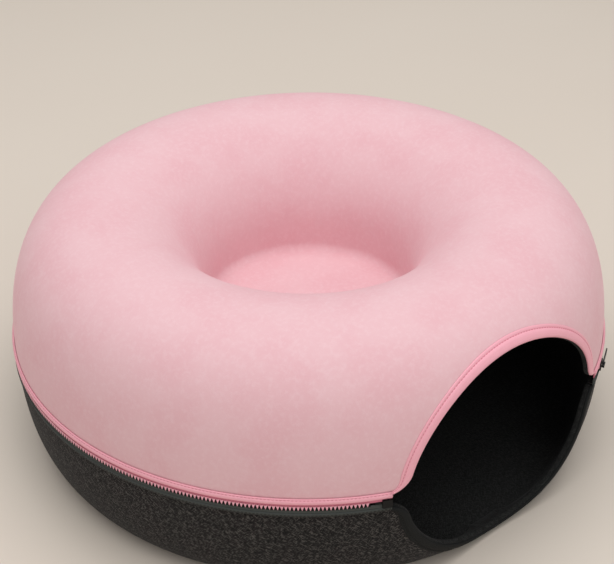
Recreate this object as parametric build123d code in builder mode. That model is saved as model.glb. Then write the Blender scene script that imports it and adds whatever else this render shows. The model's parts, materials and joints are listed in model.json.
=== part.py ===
"""Round two-part felt tunnel bed for a pet.

A bowl-shaped tray and a ring-shaped cover are moulded from felt and lined with
a thin black layer. A zip joins them half way up, all the way round except at
the entrance. The middle of the cover dips into an open well to lie in, and its
floor rests on a raised core in the tray, so the inside is a ring tunnel.

Sizes are in millimetres. The origin is on the floor at the centre of the ring,
+Z is up and the entrance faces -Y.
"""

from math import asin, cos, degrees, floor, radians, sin, tan
from build123d import *
import os

os.makedirs("parts", exist_ok=True)

# Overall sizes
outer_radius = 300.0
bed_height = 250.0
zip_height = 112.0
crown_inset = 96.0
base_inset = 40.0
well_radius = 107.0
well_floor = 120.0

# How full each curved stretch of the mouldings is: 0.55 is a plain ellipse
cover_fullness = 0.66
crown_fullness = 0.545
tray_fullness = 0.62

# Layers
felt_thickness = 4.0
lining_thickness = 1.5
bond_gap = 0.2
total_thickness = felt_thickness + bond_gap + lining_thickness
rest_gap = 0.3

# Well and core
well_wall_height = 30.0
well_corner_radius = 8.0
core_inset = 15.0
core_draft = 8.0
core_shoulder_radius = 14.0
core_foot_radius = 14.0

# Entrance: an oval hole shared by both halves, with rounded corners at the zip
entrance_half_width = 119.0
felt_over_arch = 33.5
sill_height = 7.5
corner_radius = 27.0
zip_end_margin = 13.0

# Binding tape folded over the cut edges; under the sill it starts clear of the
# tray's flat base and of the floor
binding_thickness = 1.0
arch_binding_width = 9.0
rim_binding_width = 5.4
sill_reach = 10.0
foot_gap = 0.5

# Zip
tape_thickness = 0.8
tape_width = 8.0
tooth_pitch = 3.52
tooth_root = 2.0
tooth_tip = 1.5
tooth_flare = 0.18
tooth_gap = 0.3
tooth_thickness = 3.0
slider_gap = 0.3
felt_clearance = 0.9

# Slider and pull tab
slider_length = 12.0
slider_front_half = 4.3
slider_rear_half = 3.6
slider_plate = 1.2
slider_corner_radius = 1.0
channel_half = 2.4
throat_half = 3.3
wedge_length = 3.4
wedge_half = 1.0
wedge_inset = 0.4
bridge_half_length = 3.8
bridge_half_width = 1.0
bridge_thickness = 1.0
eye_radius = 0.6
tab_length = 24.0
tab_half_width = 3.1
tab_thickness = 1.2
tab_taper = 2.0
eye_half_width = 2.5
eye_margin = 1.4
limb_width = 1.1
end_bar_width = 1.0

# Zip ends, measured along the zip from the ends of its tapes
stop_start = 18.0
stop_length = 3.0
stop_near = 0.4
stop_overhang = 0.2
clamp_depth = 1.2
clamp_gap = 0.05
box_length = 9.0
box_half_height = 4.2
box_thickness = 5.6
box_corner_radius = 1.0
pin_inset = 1.0
pin_near = 0.3
pin_gap = 0.4
pin_length = 14.0
pin_thickness = 2.6

# Worked out from the sizes above
crown_radius = outer_radius - crown_inset
base_radius = outer_radius - base_inset
core_top_radius = well_radius - core_inset
arch_rise = bed_height - felt_over_arch - zip_height
sill_drop = zip_height - sill_height
rim_end_x = entrance_half_width + zip_end_margin
cutter_start = (well_radius + crown_radius) / 2
rim_clearance = slider_front_half + felt_clearance
felt_edge = rim_clearance + binding_thickness
tape_inner = outer_radius + bond_gap
tape_outer = tape_inner + tape_thickness
tape_middle = (tape_inner + tape_outer) / 2
strip_inner = tape_outer + bond_gap
core_height = well_floor - total_thickness - rest_gap
rim_angle = degrees(asin((rim_end_x + rest_gap) / tape_middle))
first_angle = -90 + rim_angle
degrees_per_mm = degrees(1 / tape_middle)
slider_start = stop_start + stop_length + slider_gap
slider_centre = slider_start + slider_length / 2
first_tooth = slider_start + wedge_length + tooth_pitch / 2
last_tooth = pin_inset + pin_length + tooth_pitch / 2
zip_arc = (360 - 2 * rim_angle) / degrees_per_mm
tooth_count = floor((zip_arc - first_tooth - last_tooth) / tooth_pitch + 0.5)


# Two places this close are the same place
same_place = 0.01


# Sections of the mouldings -------------------------------------------------

def cover_curve(depth):
    """Cover's face `depth` inside its outer one, from the rim to the middle of the well.

    Returns its two end points.
    """
    rim = (outer_radius - depth, zip_height + felt_edge)
    crown = (crown_radius, bed_height - depth)
    wall_top = (well_radius + depth, well_floor + well_wall_height)
    wall_foot = (well_radius + depth, well_floor + well_corner_radius)
    floor_edge = (well_radius - well_corner_radius, well_floor - depth)
    middle = (0, well_floor - depth)
    rise = cover_fullness * (crown[1] - rim[1])
    reach = cover_fullness * (rim[0] - crown[0])
    Bezier(rim, (rim[0], rim[1] + rise), (crown[0] + reach, crown[1]), crown)
    dip = crown_fullness * (crown[1] - wall_top[1])
    run = crown_fullness * (crown[0] - wall_top[0])
    Bezier(crown, (crown[0] - run, crown[1]), (wall_top[0], wall_top[1] + dip), wall_top)
    Line(wall_top, wall_foot)
    RadiusArc(wall_foot, floor_edge, well_corner_radius + depth)
    Line(floor_edge, middle)
    return rim, middle


def tray_curve(depth):
    """Tray's face `depth` inside its outer one, from the rim to the top of the core.

    Returns its two end points.
    """
    rim = (outer_radius - depth, zip_height - felt_edge)
    base = (base_radius, depth)
    core_hollow = core_height - total_thickness
    slant = radians(core_draft)
    side_shift = depth * (1 - sin(slant)) / cos(slant)
    foot = (core_top_radius + core_hollow * tan(slant) + side_shift, depth)
    shoulder = (core_top_radius + side_shift, core_hollow + depth)
    middle = (0, core_hollow + depth)
    drop = tray_fullness * (rim[1] - base[1])
    reach = tray_fullness * (rim[0] - base[0])
    Bezier(rim, (rim[0], rim[1] - drop), (base[0] + reach, base[1]), base)
    FilletPolyline(base, foot, shoulder, middle,
                   radius=[core_foot_radius - depth, core_shoulder_radius + depth])
    return rim, middle


def closed_section(curve, outer, inner):
    """Close the two faces of a moulding at its rim and on the axis."""
    outer_rim, outer_middle = curve(outer)
    inner_rim, inner_middle = curve(inner)
    Line(outer_rim, inner_rim)
    Line(outer_middle, inner_middle)


def entrance_prism(grow, side):
    """Solid that cuts the entrance, `grow` larger all round, for the cover (side 1) or tray (side -1)."""
    rise = arch_rise if side > 0 else sill_drop
    rim = side * (felt_edge + grow)
    start_plane = Plane.XZ.offset(cutter_start)
    with BuildPart(start_plane) as prism:
        with BuildSketch(start_plane):
            with Locations((0, zip_height)):
                Ellipse(entrance_half_width + grow, rise + grow)
            with Locations((0, zip_height + rim - side * bed_height / 2)):
                Rectangle(2 * outer_radius, bed_height)
        extrude(amount=outer_radius)
        corners = [edge for edge in prism.edges().filter_by(Axis.Y)
                   if abs(edge.center().Z - zip_height - rim) < same_place
                   and abs(edge.center().X) < entrance_half_width + grow + same_place]
        fillet(corners, corner_radius - grow)
    return prism.part


def front_block(half_width):
    """Block over the entrance, `half_width` each side of the middle, the full height of the bed."""
    with BuildPart() as block:
        with Locations((0, -outer_radius, zip_height)):
            Box(2 * half_width, 2 * outer_radius, 2 * bed_height)
    return block.part


def zip_plane(angle):
    """Plane on the zip's centre line: x runs along the zip, y up and z out of the bed."""
    turn = radians(angle)
    return Plane(origin=(tape_middle * cos(turn), tape_middle * sin(turn), zip_height),
                 x_dir=(-sin(turn), cos(turn), 0), z_dir=(cos(turn), sin(turn), 0))


def from_closed_end(distance):
    """Angle of a point `distance` along the zip from its closed end."""
    return first_angle + distance * degrees_per_mm


def from_open_end(distance):
    """Angle of a point `distance` along the zip from its open end."""
    return 270 - rim_angle - distance * degrees_per_mm


# Mouldings and linings -----------------------------------------------------

def save(part, name):
    """Label a finished piece and write it to its own file."""
    part.label = name
    export_step(part, f"parts/{name}.step")


def make_cover_layer(outer, inner):
    """Moulded layer of the cover between two depths, with the arch cut out."""
    arch = entrance_prism(0, 1)
    with BuildPart() as layer:
        with BuildSketch(Plane.XZ):
            with BuildLine():
                closed_section(cover_curve, outer, inner)
            make_face()
        revolve(axis=Axis.Z)
        add(arch, mode=Mode.SUBTRACT)
    return layer.part


def make_tray_layer(outer, inner):
    """Moulded layer of the tray between two depths, with the sill cut out."""
    sill = entrance_prism(0, -1)
    with BuildPart() as layer:
        with BuildSketch(Plane.XZ):
            with BuildLine():
                closed_section(tray_curve, outer, inner)
            make_face()
        revolve(axis=Axis.Z)
        add(sill, mode=Mode.SUBTRACT)
    return layer.part


# Bindings ------------------------------------------------------------------

def make_entrance_binding(curve, side):
    """Tape folded over the entrance edge of a moulding, on both its faces."""
    skin = bond_gap + binding_thickness
    reach = entrance_prism(arch_binding_width, side)
    hole = entrance_prism(-skin, side)
    core_hole = entrance_prism(-bond_gap, side)
    block = front_block(rim_end_x)
    base_trim_height = 2 * (total_thickness + skin)
    with BuildPart() as core:
        with BuildSketch(Plane.XZ):
            with BuildLine():
                closed_section(curve, -bond_gap, total_thickness + bond_gap)
            make_face()
        revolve(axis=Axis.Z)
        add(core_hole, mode=Mode.SUBTRACT)
    with BuildPart() as binding:
        with BuildSketch(Plane.XZ):
            with BuildLine():
                closed_section(curve, -skin, total_thickness + skin)
            make_face()
        revolve(axis=Axis.Z)
        add(reach, mode=Mode.INTERSECT)
        add(block, mode=Mode.INTERSECT)
        add(hole, mode=Mode.SUBTRACT)
        add(core.part, mode=Mode.SUBTRACT)
        Cylinder(base_radius + sill_reach, base_trim_height, mode=Mode.SUBTRACT)
        Cylinder(outer_radius, 2 * foot_gap, mode=Mode.SUBTRACT)
    return binding.part


def make_rim_binding(side):
    """Strip sewn round a moulding's rim over the upper edge of its zip tape."""
    block = front_block(rim_end_x + rest_gap)
    near = zip_height + side * rim_clearance
    far = near + side * rim_binding_width
    with BuildPart() as binding:
        with BuildSketch(Plane.XZ):
            with BuildLine():
                Polyline((strip_inner, near), (strip_inner + binding_thickness, near),
                         (strip_inner + binding_thickness, far), (strip_inner, far), close=True)
            make_face()
        revolve(axis=Axis.Z)
        add(block, mode=Mode.SUBTRACT)
    return binding.part


# Zip -----------------------------------------------------------------------

def make_tape(side):
    """Woven tape that hangs past a moulding's rim and carries the teeth on its edge."""
    block = front_block(rim_end_x + rest_gap)
    near = zip_height + side * tooth_root
    far = near + side * tape_width
    with BuildPart() as tape:
        with BuildSketch(Plane.XZ):
            with BuildLine():
                Polyline((tape_inner, near), (tape_outer, near), (tape_outer, far), (tape_inner, far),
                         close=True)
            make_face()
        revolve(axis=Axis.Z)
        add(block, mode=Mode.SUBTRACT)
    return tape.part


def make_teeth(side):
    """Row of tapered teeth on one tape; the other tape's teeth stand in their gaps."""
    middle_half = (tooth_pitch / 2 - tooth_gap) / 2
    root_half = middle_half + tooth_flare * tooth_root
    tip_half = middle_half - tooth_flare * tooth_tip
    shift = 0 if side > 0 else tooth_pitch / 2
    sweep = tooth_count * tooth_pitch * degrees_per_mm
    start = from_closed_end(first_tooth + shift)
    with BuildPart() as tooth:
        with BuildSketch(Plane.YZ.offset(-tooth_thickness / 2)):
            with BuildLine():
                Polyline((-root_half, side * tooth_root), (root_half, side * tooth_root),
                         (tip_half, -side * tooth_tip), (-tip_half, -side * tooth_tip), close=True)
            make_face()
        extrude(amount=tooth_thickness)
    with BuildPart() as teeth:
        with Locations((0, 0, zip_height)):
            with PolarLocations(tape_middle, tooth_count, start_angle=start, angular_range=sweep):
                add(tooth.part)
    return teeth.part


def make_end_stop(side):
    """Small block clamped on the end of one tape, which the slider stops against."""
    half = tooth_thickness / 2 + stop_overhang
    slot_half = tape_thickness / 2 + clamp_gap
    with BuildPart(zip_plane(from_closed_end(stop_start + stop_length / 2))) as stop:
        with Locations((0, side * (stop_near + tooth_root) / 2, 0)):
            Box(stop_length, tooth_root - stop_near, 2 * half)
        for face in (1, -1):
            with Locations((0, side * (tooth_root + clamp_depth / 2), face * (half + slot_half) / 2)):
                Box(stop_length, clamp_depth, half - slot_half)
    return stop.part


def make_retaining_box():
    """Box on the tray's tape that the cover's pin slides into at the open end of the zip."""
    tape_slot = tape_thickness + 2 * bond_gap
    slot_near = pin_near - pin_gap
    slot_far = tooth_root + pin_gap
    plane = zip_plane(from_open_end(box_length / 2))
    with BuildPart(plane) as box:
        Box(box_length, 2 * box_half_height, box_thickness)
        fillet(box.edges().filter_by(Axis(plane.origin, plane.z_dir)), box_corner_radius)
        with Locations((0, (slot_near + slot_far) / 2, 0)):
            Box(box_length, slot_far - slot_near, pin_thickness + 2 * slider_gap, mode=Mode.SUBTRACT)
        for side in (1, -1):
            with Locations((0, side * (tooth_root + box_half_height) / 2, 0)):
                Box(box_length, box_half_height - tooth_root, tape_slot, mode=Mode.SUBTRACT)
    return box.part


def make_insertion_pin():
    """Stiff pin on the edge of the cover's tape, seated in the box when the zip is joined."""
    with BuildPart(zip_plane(from_open_end(pin_inset + pin_length / 2))) as pin:
        with Locations((0, (tooth_root + pin_near) / 2, 0)):
            Box(pin_length, tooth_root - pin_near, pin_thickness)
    return pin.part


# Slider --------------------------------------------------------------------

plate_inner = tooth_thickness / 2 + slider_gap
plate_outer = plate_inner + slider_plate
lip_inner = tape_thickness / 2 + slider_gap
eye_height = plate_outer + slider_gap + eye_radius
bridge_inner = eye_height + eye_radius + slider_gap


def make_slider_body():
    """Two plates joined by a wedge, with lips that follow the tapes."""
    plane = zip_plane(from_closed_end(slider_centre))
    half = slider_length / 2
    wedge_start = -half + wedge_inset
    wedge_widest = wedge_start + wedge_length / 3
    wedge_end = -half + wedge_length
    with BuildPart(plane) as slider:
        with BuildSketch(plane.offset(-plate_outer)):
            with BuildLine():
                Polyline((-half, -slider_front_half), (0, -slider_front_half), (half, -slider_rear_half),
                         (half, slider_rear_half), (0, slider_front_half), (-half, slider_front_half),
                         close=True)
            make_face()
            fillet(vertices(), slider_corner_radius)
        extrude(amount=2 * plate_outer)
        with BuildSketch(plane.offset(-plate_inner)):
            with BuildLine():
                Polyline((-half, -throat_half), (wedge_end, -channel_half), (half, -channel_half),
                         (half, channel_half), (wedge_end, channel_half), (-half, throat_half),
                         close=True)
            make_face()
        extrude(amount=2 * plate_inner, mode=Mode.SUBTRACT)
        Box(slider_length, 2 * slider_front_half, 2 * lip_inner, mode=Mode.SUBTRACT)
        with BuildSketch(plane.offset(-plate_inner)):
            with BuildLine():
                Polyline((wedge_start, 0), (wedge_widest, -wedge_half), (wedge_end, 0),
                         (wedge_widest, wedge_half), close=True)
            make_face()
        extrude(amount=2 * plate_inner)
    return slider.part


def make_slider_bridge():
    """Staple over the slider's outer plate that holds the pull tab."""
    plane = zip_plane(from_closed_end(slider_centre))
    top = bridge_inner + bridge_thickness
    inside = bridge_half_length - bridge_thickness
    with BuildPart() as bridge:
        with BuildSketch(Plane(plane.origin, x_dir=plane.x_dir, z_dir=-plane.y_dir)):
            with BuildLine():
                Polyline((-bridge_half_length, plate_outer), (-bridge_half_length, top),
                         (bridge_half_length, top), (bridge_half_length, plate_outer),
                         (inside, plate_outer), (inside, bridge_inner), (-inside, bridge_inner),
                         (-inside, plate_outer), close=True)
            make_face()
        extrude(amount=bridge_half_width, both=True)
    return bridge.part


def make_pull_tab():
    """Flat tab with a slotted eye; its round end bar turns under the bridge."""
    plane = zip_plane(from_closed_end(slider_centre))
    eye_plane = plane.offset(eye_height)
    eye_length = bridge_half_length + eye_margin
    shoulder = eye_length + tab_taper
    slot_length = eye_length - end_bar_width
    slot_half = eye_half_width - limb_width
    with BuildPart() as tab:
        with BuildSketch(eye_plane.offset(-tab_thickness / 2)):
            with BuildLine():
                Polyline((0, -eye_half_width), (eye_length, -eye_half_width),
                         (shoulder, -tab_half_width), (tab_length, -tab_half_width),
                         (tab_length, tab_half_width), (shoulder, tab_half_width),
                         (eye_length, eye_half_width), (0, eye_half_width), close=True)
            make_face()
            with Locations((slot_length / 2, 0)):
                Rectangle(slot_length, 2 * slot_half, mode=Mode.SUBTRACT)
        extrude(amount=tab_thickness)
        with BuildSketch(Plane(eye_plane.origin, x_dir=plane.x_dir, z_dir=-plane.y_dir)):
            Circle(eye_radius)
        extrude(amount=eye_half_width, both=True)
    return tab.part


# Build and save every piece ------------------------------------------------

lining_start = felt_thickness + bond_gap

save(make_tray_layer(0, felt_thickness), "tray_shell")
save(make_tray_layer(lining_start, total_thickness), "tray_lining")
save(make_rim_binding(-1), "tray_rim_binding")
save(make_entrance_binding(tray_curve, -1), "tray_sill_binding")
save(make_tape(-1), "tray_zip_tape")
save(make_teeth(-1), "tray_zip_teeth")
save(make_end_stop(-1), "tray_end_stop")
save(make_retaining_box(), "retaining_box")

save(make_cover_layer(0, felt_thickness), "cover_shell")
save(make_cover_layer(lining_start, total_thickness), "cover_lining")
save(make_rim_binding(1), "cover_rim_binding")
save(make_entrance_binding(cover_curve, 1), "cover_arch_binding")
save(make_tape(1), "cover_zip_tape")
save(make_teeth(1), "cover_zip_teeth")
save(make_end_stop(1), "cover_end_stop")
save(make_insertion_pin(), "insertion_pin")

save(make_slider_body(), "slider_body")
save(make_slider_bridge(), "slider_bridge")
save(make_pull_tab(), "pull_tab")
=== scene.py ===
"""Looks of a round two-part felt tunnel bed for a pet.

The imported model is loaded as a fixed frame. Every soft piece is then made
again as a fine surface in the same place: the two moulded felt shells and
their black linings, the folded bindings, the zip's tapes, cords, teeth and
the rows of stitching. Small hard fittings keep their frame meshes and get a
better finish. Lengths are in metres, the entrance faces -Y and +Z is up.
"""

import json
import logging
import math
from dataclasses import dataclass, field
from enum import Enum

import bpy
import numpy as np
from mathutils import Matrix, Vector

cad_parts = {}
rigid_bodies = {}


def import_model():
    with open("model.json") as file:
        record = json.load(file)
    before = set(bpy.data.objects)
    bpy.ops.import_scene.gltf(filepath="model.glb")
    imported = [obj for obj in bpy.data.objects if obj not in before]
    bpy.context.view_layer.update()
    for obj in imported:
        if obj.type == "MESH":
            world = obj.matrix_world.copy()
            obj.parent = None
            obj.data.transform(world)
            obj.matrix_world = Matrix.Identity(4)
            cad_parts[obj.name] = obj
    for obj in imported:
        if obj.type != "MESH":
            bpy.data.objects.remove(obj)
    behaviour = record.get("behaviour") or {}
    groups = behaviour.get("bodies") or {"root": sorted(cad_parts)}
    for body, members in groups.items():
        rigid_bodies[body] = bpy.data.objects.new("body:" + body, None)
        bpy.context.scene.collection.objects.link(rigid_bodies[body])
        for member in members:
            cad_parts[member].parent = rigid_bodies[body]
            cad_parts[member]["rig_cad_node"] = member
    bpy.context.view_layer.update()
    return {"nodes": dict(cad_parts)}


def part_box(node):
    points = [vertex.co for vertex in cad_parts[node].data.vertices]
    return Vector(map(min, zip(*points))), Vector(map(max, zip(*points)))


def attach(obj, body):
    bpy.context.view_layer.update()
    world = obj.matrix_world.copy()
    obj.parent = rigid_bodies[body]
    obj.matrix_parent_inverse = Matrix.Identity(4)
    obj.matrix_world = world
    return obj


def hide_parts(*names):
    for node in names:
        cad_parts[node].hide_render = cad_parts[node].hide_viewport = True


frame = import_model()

log = logging.getLogger("tunnel_bed")
MM = 0.001
WAVE_PERIOD = 0.314  # length that one band of a wave texture takes at scale 1


class Body(Enum):
    """Moving bodies of the frame."""

    TRAY = "tray"
    COVER = "cover"
    SLIDER = "slider"
    TAB = "tab"


class Half(Enum):
    """The two mouldings, by the side of the zip that each is on."""

    COVER = 1
    TRAY = -1


# Sizes ---------------------------------------------------------------------


@dataclass(frozen=True)
class BedSizes:
    """Sizes of the bed that every piece is worked out from, in metres.

    The first block is read from the frame. The rest are the maker's own sizes for curves that a box can't
    tell.
    """

    outer_radius: float
    height: float
    zip_height: float
    well_floor: float
    rim_offset: float
    corner_x: float
    tape_inner: float
    tape_outer: float
    strip_inner: float
    felt: float = 4.0 * MM
    lining: float = 1.5 * MM
    bond: float = 0.2 * MM
    crown_inset: float = 96.0 * MM
    base_inset: float = 40.0 * MM
    well_radius: float = 107.0 * MM
    well_wall: float = 30.0 * MM
    well_corner: float = 8.0 * MM
    cover_fullness: float = 0.66
    crown_fullness: float = 0.545
    tray_fullness: float = 0.62
    core_inset: float = 15.0 * MM
    core_draft: float = math.radians(8.0)
    core_round: float = 14.0 * MM
    felt_over_arch: float = 33.5 * MM
    sill_height: float = 7.5 * MM
    entrance_corner: float = 27.0 * MM
    zip_end_margin: float = 13.0 * MM
    zip_end_gap: float = 0.3 * MM
    rest_gap: float = 0.3 * MM
    tape_thickness: float = 0.8 * MM
    strip_thickness: float = 1.0 * MM
    strip_overlap: float = 1.0 * MM
    tooth_pitch: float = 3.52 * MM

    @classmethod
    def from_frame(cls) -> "BedSizes":
        """Reads the driving sizes from the boxes of the frame's nodes."""
        shell_low, shell_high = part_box("cover_shell")
        tape_low, tape_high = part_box("cover_zip_tape")
        tray_tape_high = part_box("tray_zip_tape")[1]
        strip_low, strip_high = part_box("cover_rim_binding")
        zip_height = (tape_low.z + tray_tape_high.z) / 2
        return cls(
            outer_radius=shell_high.x,
            height=shell_high.z,
            zip_height=zip_height,
            well_floor=shell_low.z + cls.felt,
            rim_offset=strip_low.z + cls.strip_overlap - zip_height,
            corner_x=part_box("cover_arch_binding")[1].x,
            tape_inner=tape_high.x - cls.tape_thickness,
            tape_outer=tape_high.x,
            strip_inner=strip_high.x - cls.strip_thickness,
        )

    @property
    def wall(self) -> float:
        """Thickness of felt, bond and lining together."""
        return self.felt + self.bond + self.lining

    @property
    def crown_radius(self) -> float:
        """Radius of the ring's highest line."""
        return self.outer_radius - self.crown_inset

    @property
    def base_radius(self) -> float:
        """Radius of the tray's flat base."""
        return self.outer_radius - self.base_inset

    @property
    def tape_middle(self) -> float:
        """Radius of the middle of the zip's tapes."""
        return (self.tape_inner + self.tape_outer) / 2

    @property
    def zip_end(self) -> float:
        """Angle from the middle of the entrance at which the zip's tapes end."""
        return math.asin((self.corner_x + self.zip_end_gap) / self.tape_middle)


SIZES = BedSizes.from_frame()


# Curves --------------------------------------------------------------------


def cubic(start: tuple, pull_out: tuple, pull_in: tuple, end: tuple, count: int) -> np.ndarray:
    """Cubic curve p(t) = (1-t)^3 a + 3t(1-t)^2 b + 3t^2(1-t) c + t^3 d.

    Args:
        start, pull_out, pull_in, end: a, b, c and d, each (radius, height).
        count: number of points, evenly spaced in t.

    Returns:
        Array of shape (count, 2).
    """
    a, b, c, d = (np.array(point) for point in (start, pull_out, pull_in, end))
    t = np.linspace(0, 1, count)[:, None]
    return (1 - t) ** 3 * a + 3 * t * (1 - t) ** 2 * b + 3 * t**2 * (1 - t) * c + t**3 * d


def straight(start: tuple, end: tuple, count: int) -> np.ndarray:
    """Line p(t) = a + t (b - a), with count points."""
    t = np.linspace(0, 1, count)[:, None]
    return np.array(start) + t * (np.array(end) - np.array(start))


def rounded_corner(before: tuple, corner: tuple, after: tuple, radius: float, count: int) -> np.ndarray:
    """Arc that rounds a corner between two straight runs.

    With u and v the directions from the corner to its neighbours and w the angle between them, the arc's
    centre is corner + (u + v)/|u + v| radius / sin(w/2), and its ends are radius / tan(w/2) from the corner.
    Its points turn evenly from one end to the other: p = centre + (sin((1-t)q) e0 + sin(tq) e1) / sin(q).

    Args:
        before, corner, after: the run's three points, each (radius, height).
        radius: radius of the arc.
        count: number of points.

    Returns:
        Array of shape (count, 2).
    """
    before, corner, after = (np.array(point) for point in (before, corner, after))
    u = (before - corner) / np.linalg.norm(before - corner)
    v = (after - corner) / np.linalg.norm(after - corner)
    half = math.acos(float(u @ v)) / 2
    centre = corner + (u + v) / np.linalg.norm(u + v) * radius / math.sin(half)
    first = corner + u * radius / math.tan(half) - centre
    last = corner + v * radius / math.tan(half) - centre
    turn = math.pi - 2 * half
    t = np.linspace(0, 1, count)[:, None]
    return centre + (np.sin((1 - t) * turn) * first + np.sin(t * turn) * last) / math.sin(turn)


def along(points: np.ndarray) -> np.ndarray:
    """Length along a line of points up to each of them, from 0."""
    steps = np.linalg.norm(np.diff(points, axis=0), axis=1)
    return np.concatenate(([0.0], np.cumsum(steps)))


def evenly(points: np.ndarray, spacing: float) -> tuple[np.ndarray, np.ndarray]:
    """Points evenly spaced along a line, with the line's direction at each.

    Args:
        points: array of shape (n, 3).
        spacing: wanted distance between points.

    Returns:
        Places and unit directions, each of shape (m, 3).
    """
    length = along(points)
    number = max(2, round(length[-1] / spacing))
    at = (np.arange(number) + 0.5) / number * length[-1]
    places = np.stack([np.interp(at, length, points[:, axis]) for axis in range(3)], axis=1)
    step = spacing / 4
    ahead = np.stack([np.interp(at + step, length, points[:, axis]) for axis in range(3)], axis=1)
    behind = np.stack([np.interp(at - step, length, points[:, axis]) for axis in range(3)], axis=1)
    direction = ahead - behind
    return places, direction / np.linalg.norm(direction, axis=1)[:, None]


def ring_point(turn: np.ndarray, radius: np.ndarray, height: np.ndarray) -> np.ndarray:
    """Point at an angle from the middle of the entrance: (r sin a, -r cos a, z)."""
    radius, height, turn = np.broadcast_arrays(radius, height, turn)
    return np.stack([radius * np.sin(turn), -radius * np.cos(turn), height], axis=-1)


# Section and entrance ------------------------------------------------------


@dataclass(frozen=True)
class Section:
    """Section of one moulding, `depth` inside its outer face, from the axis outwards.

    The fixed part is the same at every angle. The wall is the last stretch, which the entrance cuts.
    """

    half: Half
    depth: float

    def fixed(self) -> np.ndarray:
        """Points from the axis to the start of the wall, each (radius, height)."""
        return self._cover_fixed() if self.half is Half.COVER else self._tray_fixed()

    def _cover_fixed(self) -> np.ndarray:
        """Flat well floor, a rounded corner, an upright wall and a cubic curve up to the crown."""
        s, d = SIZES, self.depth
        low = s.well_floor - d
        side = s.well_radius + d
        top = (side, s.well_floor + s.well_wall)
        crown = (s.crown_radius, s.height - d)
        dip = s.crown_fullness * (crown[1] - top[1])
        run = s.crown_fullness * (crown[0] - side)
        return np.concatenate([
            straight((0, low), (s.well_radius - s.well_corner, low), 9)[:-1],
            rounded_corner((0, low), (side, low), top, s.well_corner + d, 7)[:-1],
            straight((side, s.well_floor + s.well_corner), top, 5)[:-1],
            cubic(top, (side, top[1] + dip), (crown[0] - run, crown[1]), crown, 19),
        ])

    def _tray_fixed(self) -> np.ndarray:
        """Core's flat top, its rounded shoulder, slanted side and rounded foot, and the flat base."""
        s, d = SIZES, self.depth
        slant = s.core_draft
        hollow = s.well_floor - 2 * s.wall - s.rest_gap
        shift = d * (1 - math.sin(slant)) / math.cos(slant)
        core_radius = s.well_radius - s.core_inset + shift
        middle = (0, hollow + d)
        shoulder = (core_radius, hollow + d)
        foot = (core_radius + hollow * math.tan(slant), d)
        base = (s.base_radius, d)
        shoulder_arc = rounded_corner(middle, shoulder, foot, s.core_round + d, 9)
        foot_arc = rounded_corner(shoulder, foot, base, s.core_round - d, 9)
        return np.concatenate([
            straight(middle, shoulder_arc[0], 8)[:-1],
            shoulder_arc[:-1],
            straight(shoulder_arc[-1], foot_arc[0], 8)[:-1],
            foot_arc[:-1],
            straight(foot_arc[-1], base, 10),
        ])

    def wall(self, count: int = 400) -> np.ndarray:
        """Cubic curve from the crown, or from the flat base, out to the rim."""
        s, d = SIZES, self.depth
        rim = (s.outer_radius - d, s.zip_height + self.half.value * s.rim_offset)
        if self.half is Half.COVER:
            start = (s.crown_radius, s.height - d)
            fullness = s.cover_fullness
        else:
            start = (s.base_radius, d)
            fullness = s.tray_fullness
        reach = fullness * (rim[0] - start[0])
        rise = fullness * (rim[1] - start[1])
        return cubic(start, (start[0] + reach, start[1]), (rim[0], rim[1] - rise), rim, count)


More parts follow.
